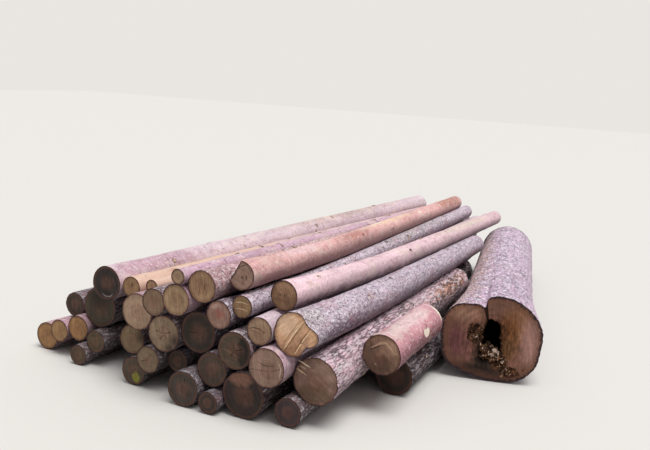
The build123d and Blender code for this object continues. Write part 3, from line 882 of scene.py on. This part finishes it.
def add_sawn_end(skin, solid, look, radii, seed, columns, rows, end):
    """One sawn end, as rings of points from the bark in to the pith."""
    row = end * (rows - 1)
    centre = solid.centre(end * solid.length)
    inward = solid.along * (1 - 2 * end)
    pith = solid.across * look.pith[0] * MM + Vector((0, 0, look.pith[1] * MM))
    mean = sum(radii[row, column] for column in range(columns)) / columns
    stains = [(solid.outward(math.radians(turn)) * mean * far, size * MM) for turn, far, size in look.stains]
    start = len(skin.points)
    open_cracks = crack_columns(look.cracks if end == 0 else (), columns)
    face_tone = linear(look.face)
    marks = [(middle, half, linear(over)) for middle, half, over in look.marks] if end == 0 else []
    saw_turn = math.radians(look.saw)
    for share in FACE_RINGS:
        for column, angle in around(columns):
            outer = solid.outward(angle) * radii[row, column]
            spot = pith + (outer - pith) * share
            side, depth = open_cracks(column, share, mean)
            spot = spot + solid.outward(angle + math.pi / 2) * side
            x, z = spot.dot(solid.across), spot.z
            turned = (
                x * math.cos(saw_turn) + z * math.sin(saw_turn),
                z * math.cos(saw_turn) - x * math.sin(saw_turn),
            )
            groove = noise.noise(Vector((turned[0] * GROOVES[0], turned[1] * GROOVES[1], seed)))
            groove = max(groove * GROOVE_DEPTH * MM, 0) * (1 - share ** 8)
            stain_and_shade = max([1 - smooth((spot - pith - away).length, 0, size) for away, size in stains] + [0.0])
            own = face_tone
            for middle, half, over in marks:
                uneven = MARK_WANDER * noise.noise(spot * MARK_SIZE)
                own = blend(own, over, near_spot(x / MM + uneven, z / MM - uneven, middle, half, 0.6))
            heart = HEART_DARKER * (1 - smooth(share + 0.2 * noise.noise(spot * 30), *HEART_EDGE))
            # deep cracks get painted shade through the stain value
            skin.put(
                centre + spot + inward * (FACE_SUNK * MM + groove + depth),
                Vector((*turned, seed * 0.37)), blend(own, HEART_TONE, heart), ring=share * mean,
                rim=(1 - share) * (outer - pith).length, stain_and_shade=max(stain_and_shade, 1.0 if depth > MM else 0.0),
            )
    skin.band(start, columns, len(FACE_RINGS), 1, flip=end == 0)


def add_streak(skin, solid, look, width, tone, places):
    """A thin ragged streak on the first sawn end, through places across and up from its middle."""
    line = [places[0]]
    for one, two in zip(places, places[1:]):
        steps = max(1, round(math.dist(one, two) / STREAK_STEP))
        line += [tuple(a + (b - a) * step / steps for a, b in zip(one, two)) for step in range(1, steps + 1)]
    saw = Matrix.Rotation(math.radians(look.saw), 2)
    start = len(skin.points)
    for number, (x, z) in enumerate(line):
        before, after = line[max(number - 1, 0)], line[min(number + 1, len(line) - 1)]
        run = Vector((after[0] - before[0], after[1] - before[1])).normalized()
        taper = math.sin(math.pi * (number + 0.3) / (len(line) - 0.4)) ** 0.6
        shift = STREAK_WANDER * noise.noise(Vector((x, z, width)) * 0.09)
        for side in (-1, 1):
            uneven = 1 + 0.7 * noise.noise(Vector((x, z, 7 * side)) * 0.13)
            away = shift + side * width / 2 * taper * uneven
            at = Vector((x - run.y * away, z + run.x * away)) * MM
            place = solid.centre(0) + solid.across * at.x + Vector((0, 0, at.y))
            skin.put(place, Vector((*(at @ saw), 0)), linear(tone), ring=at.length)
    for number in range(len(line) - 1):
        a = start + 2 * number
        skin.face((a, a + 2, a + 3, a + 1), 1)


def make_log(node, look, seed):
    """Skin of one log."""
    solid = SOLIDS[node]
    columns, rows = FINE_GRID if look.fine else PLAIN_GRID
    skin = Skin((look.bark, "sawn_end_grain", "sawn_end_grain"))
    knots = whorls(seed, solid.length)
    offset = Vector((seed * 3.7, seed * 1.3, 0))
    radii = add_bark(skin, solid, look, knots, offset, columns, rows)
    for end in (0, 1):
        add_sawn_end(skin, solid, look, radii, seed, columns, rows, end)
    for width, tone, *places in look.streaks:
        add_streak(skin, solid, look, width, tone, places)
    for number, knot in enumerate(knots):
        add_stub(skin, solid, knot, seed * 100 + number)
    skin.make(node)


SOLIDS = {node: Solid(node) for node in LOOKS}
SOLIDS[HOLLOW] = Solid(HOLLOW, HOLLOW_TURN)

for number, (node, look) in enumerate(LOOKS.items()):
    make_log(node, look, number)


# The hollow butt. Places are across and up from the middle of its sawn end, with half sizes
HOLLOW_COLUMNS, HOLLOW_ROWS = 176, 250  # points round it and along it
HOLLOW_BARK, HOLLOW_FLANK = linear("#eccde6"), linear("#f0c8c6")
FLANK = (1400, 165, 2600, 62)  # place of the flank's own tone, as for a patch
CURLS, CURL_PART = 45, 1.6  # scales that stand off the bark, to a metre, and their height over its relief
SWELLS, SWELL_HEIGHT = 7, 3  # and wider swellings under them
HOLLOW_SUNK = 2.2  # how far its bark lies under the solid's surface on average
HOLLOW_RIM = 0.34  # how thick the others' bark shows on their sawn ends, over this log's
HOLLOW_RINGS, WALL_ROWS = 26, 26  # rings of points on its sawn face, and along the cavity's wall
FAR_TONE = linear("#9a7360")  # of its far sawn end
ROT_DEPTH = 900  # depth of the cavity
ROT_REACHED = 0.98  # how much of that depth the cavity's wall covers before its inner end
ROT_INNER_END = 0.35  # the cavity's size at its inner end over that at its mouth
ROT_START = (-2, -22)  # place in the rot at the sawn end, from which its wall is found
ROT_FOLD = 104  # angle of the crack that runs from the fold to the rot
ROT_RAGGED = 13  # how unevenly the rot has eaten the cavity's edge
CRACK_HALF = 1  # columns each side of the crack's middle that it takes up
FOLD_DEPTH = 26  # how deep it is
ROT_SOFT = (  # crumbling places beside the cavity, and how deep they have gone
    (-92, 22, 48, 62, 26), (-40, -98, 40, 46, 30), (48, -128, 46, 40, 24), (104, -176, 52, 34, 22),
    (60, 40, 38, 70, 8),
)
FACE_TONES = (  # tones of its sawn face, laid over each other
    ((0, 0), (600, 600), "#80594a"), ((150, 90), (130, 170), "#8a6249"), ((-160, 140), (120, 80), "#9c7662"),
    ((20, 190), (100, 70), "#775546"), ((215, 10), (80, 190), "#a67d72"), ((-185, -30), (60, 130), "#6e4444"),
    ((-125, -60), (50, 120), "#7c524a"), ((84, 40), (84, 150), "#73482b"), ((88, -50), (60, 90), "#6d4a2e"),
    ((-60, -210), (260, 100), "#30231f"), ((-20, 0), (100, 120), "#402c20"),
    ((-36, -110), (80, 90), "#241a16"), ((-90, 20), (50, 60), "#4a3021"),
)
# tones of the cavity's wall at its mouth and deep inside; the deep one is painted shade
WALL_SHADED_DEEP, WALL_MOUTH = linear("#3a271c"), linear("#7c5838")
CRUMB_SIZES = (3, 21)  # smallest and largest, on a side
CRUMB_HEAPS = (  # middle across and up, half sizes, depth behind the face, and number
    (-96, 14, 27, 44, 26, 80), (-30, -60, 38, 18, 50, 90), (10, -84, 34, 20, 60, 90),
    (-36, -104, 26, 26, 40, 26), (34, -112, 34, 30, 26, 70), (72, -146, 34, 24, 22, 60),
    (122, -180, 44, 18, 18, 90),
)
CRUMB_TONES = ("#8f6a52", "#6b4a35", "#46301f", "#d6bcac", "#573b28", "#a98468", "#38261b", "#7a5236")


def hollow_bark(skin, solid):
    """Bark of the hollow butt, with scales that stand off it and painted shade underneath. Gives its first
    row of radii.
    """
    relief = BARKS["fine_scaled_bark"].relief * MM
    first = []
    for row in range(HOLLOW_ROWS):
        at = solid.length * (row / (HOLLOW_ROWS - 1)) ** ROW_CROWDING
        centre = solid.centre(at)
        for _, angle in around(HOLLOW_COLUMNS):
            radius = solid.radius(at, angle)
            place = Vector((math.cos(angle) * radius, math.sin(angle) * radius, at))
            curl = noise.noise(place * CURLS + Vector((noise.noise(place * 20) * 3, 0, 0)))
            height = noise.noise(place * SWELLS) * SWELL_HEIGHT * MM
            height = height + curl * relief * CURL_PART - HOLLOW_SUNK * MM
            flank = within((at, angle), FLANK, 0.3 * noise.noise(place * 12), 0.5)
            tone = blend(HOLLOW_BARK, HOLLOW_FLANK, flank)
            radius += min(height, SKIN_OVER * MM)
            if row == 0:
                first.append(radius)
            # painted shade under the stem
            skin.put(centre + solid.outward(angle) * radius, place, tone, stain_and_shade=painted_shade_below(angle))
    skin.band(0, HOLLOW_COLUMNS, HOLLOW_ROWS, 0)
    return first


def rot_hit(solid, at, outward):
    """The cavity's wall, from its middle outwards, at a distance behind the sawn end."""
    part = at / (ROT_DEPTH * MM)
    shrink = 1 - (1 - ROT_INNER_END) * part
    middle = solid.centre(at) + solid.across * ROT_START[0] * MM * shrink
    middle += Vector((0, 0, ROT_START[1] * MM * shrink))
    return middle, solid.tree.ray_cast(middle, outward)[0]


def hollow_face(skin, solid, first):
    """Sawn face between the bark and the rot, eaten away where it is soft, and the cavity's rough wall."""
    skim = 0.5 * MM
    centre = solid.centre(0)
    start = len(skin.points)
    rims, outwards, ragged = [], [], []
    middle, _ = rot_hit(solid, skim, solid.across)
    outers = [centre + solid.outward(angle) * first[column] for column, angle in around(HOLLOW_COLUMNS)]
    for outer in outers:
        outward = outer - middle
        outward = (outward - solid.along * outward.dot(solid.along)).normalized()
        outwards.append(outward)
        uneven = sum(part * noise.noise(outward * waves) for part, waves in ((1, 2.4), (0.8, 7), (0.5, 17)))
        ragged.append(uneven * ROT_RAGGED * MM)
        rims.append(rot_hit(solid, skim, outward)[1] - solid.along * skim + outward * ragged[-1])
    fold = min(range(HOLLOW_COLUMNS), key=lambda c: abs(360 * c / HOLLOW_COLUMNS - ROT_FOLD))
    face_tones = [(spot, half, linear(tone)) for spot, half, tone in FACE_TONES]
    depths = []
    for ring in range(HOLLOW_RINGS):
        share = 1 - ring / (HOLLOW_RINGS - 1)
        for column, (outer, rim) in enumerate(zip(outers, rims)):
            spot = rim + (outer - rim) * share
            x, z = ((spot - centre).dot(solid.across) / MM, (spot - centre).z / MM)
            rough = noise.noise(Vector((x, z, 3)) * 0.05) * 0.5 + noise.noise(Vector((x, z, 9)) * 0.14) * 0.5
            soft = max(near_spot(x, z, s[:2], s[2:4]) * s[4] for s in ROT_SOFT)
            depth = soft * (0.9 + rough) * MM if soft else 0.0
            depth += (1 - share) ** 6 * (14 + 16 * rough) * MM
            depth += max(0.0, noise.noise(Vector((x * 0.03, z * 0.006, 5)))) * 1.2 * MM
            cracked = abs(column - fold) <= CRACK_HALF
            if cracked:
                depth += FOLD_DEPTH * MM
            tone = face_tones[0][2]
            for middle_spot, half, over in face_tones[1:]:
                tone = blend(tone, over, near_spot(x + 30 * rough, z, middle_spot, half))
            reach = (spot - middle).length
            band = noise.noise(Vector((reach * 55, 2 * math.atan2(z, x), 2)))
            fibre = noise.noise(Vector((x * 0.11, z * 0.035, 4))) * (1 - smooth(reach, 0.08, 0.22))
            tone = tuple(value * (1 + 0.32 * band + 0.9 * fibre) for value in tone[:3]) + (1.0,)
            # the fold's crack is painted dark as its shade, and soft places darker the deeper they are eaten:
            # partly painted shade, partly the rot's own colour
            skin.put(
                spot + solid.along * depth, Vector((x * MM, z * MM, 0.5)), tone, ring=reach,
                rim=(1 - share) * (outer - rim).length * HOLLOW_RIM,
                stain_and_shade=max(0.9 if cracked else 0.0, 0.8 * soft / 30),
            )
            if ring == HOLLOW_RINGS - 1:
                depths.append(depth)
    skin.band(start, HOLLOW_COLUMNS, HOLLOW_RINGS, 1, flip=True)

    start = len(skin.points)
    deepest = ROT_DEPTH * MM * ROT_REACHED
    for row in range(WALL_ROWS):
        part = (row / (WALL_ROWS - 1)) ** 1.5
        for column, outward in enumerate(outwards):
            at = depths[column] + (deepest - depths[column]) * part
            middle, wall = rot_hit(solid, min(max(at, skim), deepest), outward)
            place = wall - solid.along * (wall.dot(solid.along) - solid.front - at)
            rough = noise.noise(place * 60) * 7 * MM + noise.noise(place * 22) * 12 * MM
            shrink = rough * smooth(part, 0, 0.02) + ragged[column] * (1 - smooth(part, 0, 0.3))
            # painted shade: the wall darkens deeper into the cavity
            tone = blend(WALL_MOUTH, WALL_SHADED_DEEP, smooth(at, 0.0, 0.2))
            skin.put(place + outward * shrink, place, tone)
    skin.band(start, HOLLOW_COLUMNS, WALL_ROWS, 2, flip=True)
    inner = len(skin.points)
    skin.put(solid.centre(ROT_DEPTH * MM), Vector((0, 0, 0)), WALL_SHADED_DEEP)
    last = inner - HOLLOW_COLUMNS
    for column in range(HOLLOW_COLUMNS):
        skin.face((last + column, inner, last + (column + 1) % HOLLOW_COLUMNS), 2)


def hollow_crumbs(skin, solid):
    """Small cubes and splinters of rotted wood that lie in the rot and in the soft places beside it."""
    draw = np.random.default_rng(61)
    centre = solid.centre(0)
    for x0, z0, half_x, half_z, back, count in CRUMB_HEAPS:
        for _ in range(count):
            x, z = x0 + half_x * 0.62 * draw.normal(), z0 + half_z * 0.62 * draw.normal()
            spot = centre + solid.across * x * MM + Vector((0, 0, z * MM))
            spot += solid.along * (2 + back * draw.random() ** 1.4) * MM
            sides = (CRUMB_SIZES[0] + (CRUMB_SIZES[1] - CRUMB_SIZES[0]) * draw.random(3) ** 2.2) * MM / 2
            sides[draw.integers(0, 3)] *= 1.3 + 1.6 * draw.random() ** 2
            axes = Matrix.Rotation(draw.random() * 6, 3, Vector(draw.normal(size=3)))
            tone = linear(CRUMB_TONES[draw.integers(0, len(CRUMB_TONES))])
            start = len(skin.points)
            for corner in range(8):
                signs = [1 if corner >> axis & 1 else -1 for axis in range(3)]
                arm = Vector([sign * side * (0.75 + 0.4 * draw.random()) for sign, side in zip(signs, sides)])
                skin.put(spot + axes @ arm, spot + arm, tone)
            for quad in ((0, 2, 3, 1), (4, 5, 7, 6), (0, 1, 5, 4), (2, 6, 7, 3), (0, 4, 6, 2), (1, 3, 7, 5)):
                skin.face([start + corner for corner in quad], 2)


def hollow_far_end(skin, solid):
    """Far sawn end of the hollow butt, sound all over."""
    start = len(skin.points)
    centre = solid.centre(solid.length)
    for share in FACE_RINGS:
        for _, angle in around(HOLLOW_COLUMNS):
            radius = (solid.radius(solid.length, angle) - 2 * MM) * share
            spot = solid.outward(angle) * radius
            local = Vector((spot.dot(solid.across), spot.z, 7.7))
            rim = (1 - share) * radius / max(share, 0.1)
            skin.put(centre + spot, local, FAR_TONE, ring=radius, rim=rim)
    skin.band(start, HOLLOW_COLUMNS, len(FACE_RINGS), 1)


def make_hollow_log():
    """Skin of the hollow butt log."""
    solid = SOLIDS[HOLLOW]
    skin = Skin(("fine_scaled_bark", "sawn_end_grain", "brown_rotted_heartwood"))
    first = hollow_bark(skin, solid)
    hollow_face(skin, solid, first)
    hollow_crumbs(skin, solid)
    hollow_far_end(skin, solid)
    skin.make(HOLLOW)


make_hollow_log()
